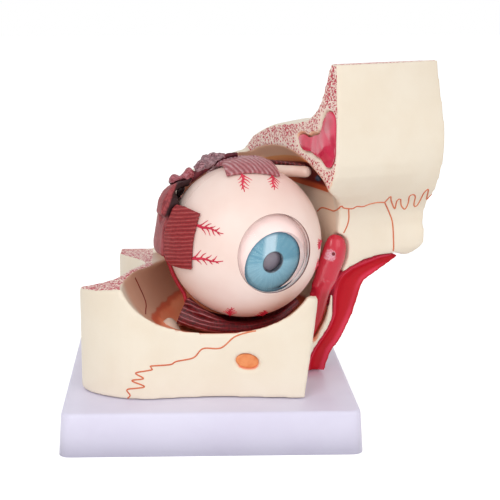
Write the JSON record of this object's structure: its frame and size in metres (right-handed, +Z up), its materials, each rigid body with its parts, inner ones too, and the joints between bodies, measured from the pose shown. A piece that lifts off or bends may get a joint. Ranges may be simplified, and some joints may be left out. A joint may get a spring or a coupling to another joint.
{
  "type": "eye anatomy model",
  "caption": "Enlarged eye in its sawn-open bony socket on a plinth; the eyeball pulls out and comes apart into shells, clear core, lens and cornea.",
  "frame": {"origin": "centre of the plinth's underside", "axes": "+X towards the nose side, +Y from the viewer into the socket, +Z up"},
  "size_m": [0.187, 0.1324, 0.1774],
  "materials": {
    "base_plastic": "moulded, satin gloss, pale lavender",
    "screw_steel": "plated steel screws",
    "bone": "cast, hand painted cream",
    "foramen_orange": "painted orange",
    "tendon": "painted pale tendon",
    "nerve": "painted pale yellow",
    "sinus_pink": "painted glossy pink",
    "crimson": "painted glossy crimson",
    "muscle_mauve": "painted, fine fibres",
    "muscle_pink": "painted, fine fibres",
    "muscle_red": "painted, fine fibres",
    "muscle_dark": "painted, fine fibres",
    "gland": "painted, small lobes",
    "sclera": "satin, pale pinkish white with painted vessels",
    "choroid": "painted brown",
    "iris_blue": "painted blue with fine radial lines",
    "clear_body": "clear plastic",
    "clear_lens": "clear plastic",
    "clear_cornea": "clear plastic dome"
  },
  "bodies": {
    "socket": {"base_shell": "base_plastic", "base_cover": "base_plastic", "cover_screw_1": "screw_steel", "cover_screw_2": "screw_steel", "cover_screw_3": "screw_steel", "cover_screw_4": "screw_steel", "bone_screw_1": "screw_steel", "bone_screw_2": "screw_steel", "bone_screw_3": "screw_steel", "bone_screw_4": "screw_steel", "maxilla_casting": "bone", "sphenoid_casting": "bone", "frontal_casting": "bone", "nasal_casting": "bone", "infraorbital_plug": "foramen_orange", "floor_spur": "bone", "tendon_ring": "tendon", "optic_nerve": "nerve", "frontal_sinus_lining": "sinus_pink", "nasal_lining": "crimson", "lacrimal_sac": "crimson", "nasolacrimal_duct": "crimson", "lateral_rectus": "muscle_mauve", "superior_rectus": "muscle_pink", "medial_rectus": "muscle_red", "inferior_rectus": "muscle_dark", "inferior_oblique": "muscle_dark", "superior_oblique": "muscle_dark", "superior_oblique_tendon": "tendon", "trochlea": "tendon", "levator_palpebrae": "muscle_red", "lacrimal_gland": "gland"},
    "eyeball": {"sclera_rear": "sclera", "nerve_stub": "nerve", "choroid_rear": "choroid"},
    "vitreous": {"vitreous_body": "clear_body"},
    "lens_unit": {"lens": "clear_lens"},
    "front_half": {"sclera_front": "sclera", "choroid_front": "choroid", "iris": "iris_blue", "lateral_rectus_stub": "muscle_red", "superior_rectus_stub": "muscle_pink"},
    "cornea_dome": {"cornea": "clear_cornea"}
  },
  "joints": [
    {"name": "eyeball_pull", "type": "slide", "parent": "socket", "child": "eyeball", "axis": [0.1818, -0.9283, 0.3244], "range_m": [0, 0.12]},
    {"name": "vitreous_pull", "type": "slide", "parent": "eyeball", "child": "vitreous", "axis": [0.1818, -0.9283, 0.3244], "range_m": [0, 0.06]},
    {"name": "lens_pull", "type": "slide", "parent": "vitreous", "child": "lens_unit", "axis": [0.1818, -0.9283, 0.3244], "range_m": [0, 0.05]},
    {"name": "front_pull", "type": "slide", "parent": "lens_unit", "child": "front_half", "axis": [0.1818, -0.9283, 0.3244], "range_m": [0, 0.05]},
    {"name": "cornea_pull", "type": "slide", "parent": "front_half", "child": "cornea_dome", "axis": [0.3827, -0.9239, 0], "range_m": [0, 0.025]}
  ]
}
